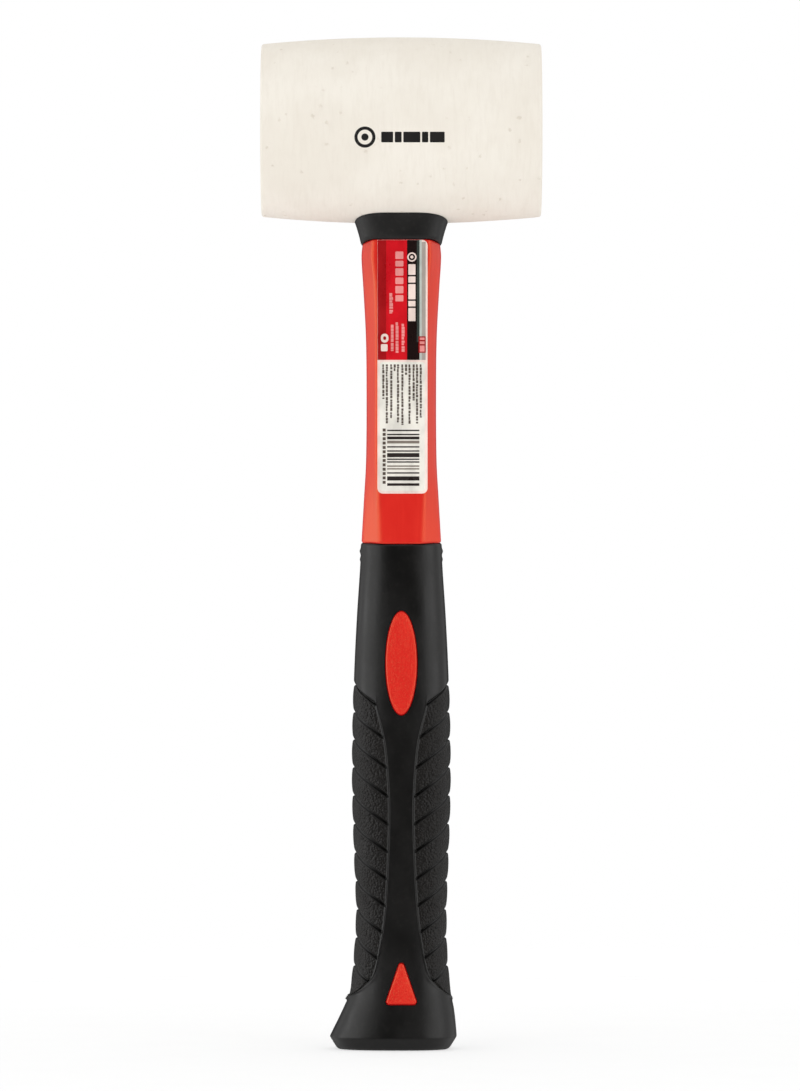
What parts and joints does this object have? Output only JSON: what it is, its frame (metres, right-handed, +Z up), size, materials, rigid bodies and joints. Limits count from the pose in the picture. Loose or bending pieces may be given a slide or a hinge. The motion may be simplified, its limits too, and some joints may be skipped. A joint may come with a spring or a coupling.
{
  "type": "rubber mallet",
  "caption": "Straight rubber mallet with a barrel-shaped pale rubber head, a red plastic-jacketed handle with a printed label and a grooved black rubber grip that flares at the butt.",
  "frame": {"origin": "centre of the whole part's box at the level of the butt's flat underside, on the handle's axis", "axes": "+Z up the handle towards the head, +X along the head towards one striking face, -Y out of the labelled side of the handle"},
  "size_m": [0.094, 0.0626, 0.34],
  "materials": {
    "head_rubber": "matt pale cream moulded rubber",
    "adhesive": "cured amber adhesive",
    "collar_rubber": "smooth matt black rubber",
    "glass_fibre": "pultruded glass fibre rod",
    "red_plastic": "semi-gloss moulded red polypropylene",
    "grip_rubber": "matt black thermoplastic rubber, smooth and grained",
    "label_print": "glossy printed film label"
  },
  "bodies": {
    "root": {"mallet_head": "head_rubber", "head_adhesive": "adhesive", "neck_collar": "collar_rubber", "core_rod": "glass_fibre", "handle_shell": "red_plastic", "grip_sleeve": "grip_rubber", "label_sticker": "label_print"}
  },
  "joints": []
}
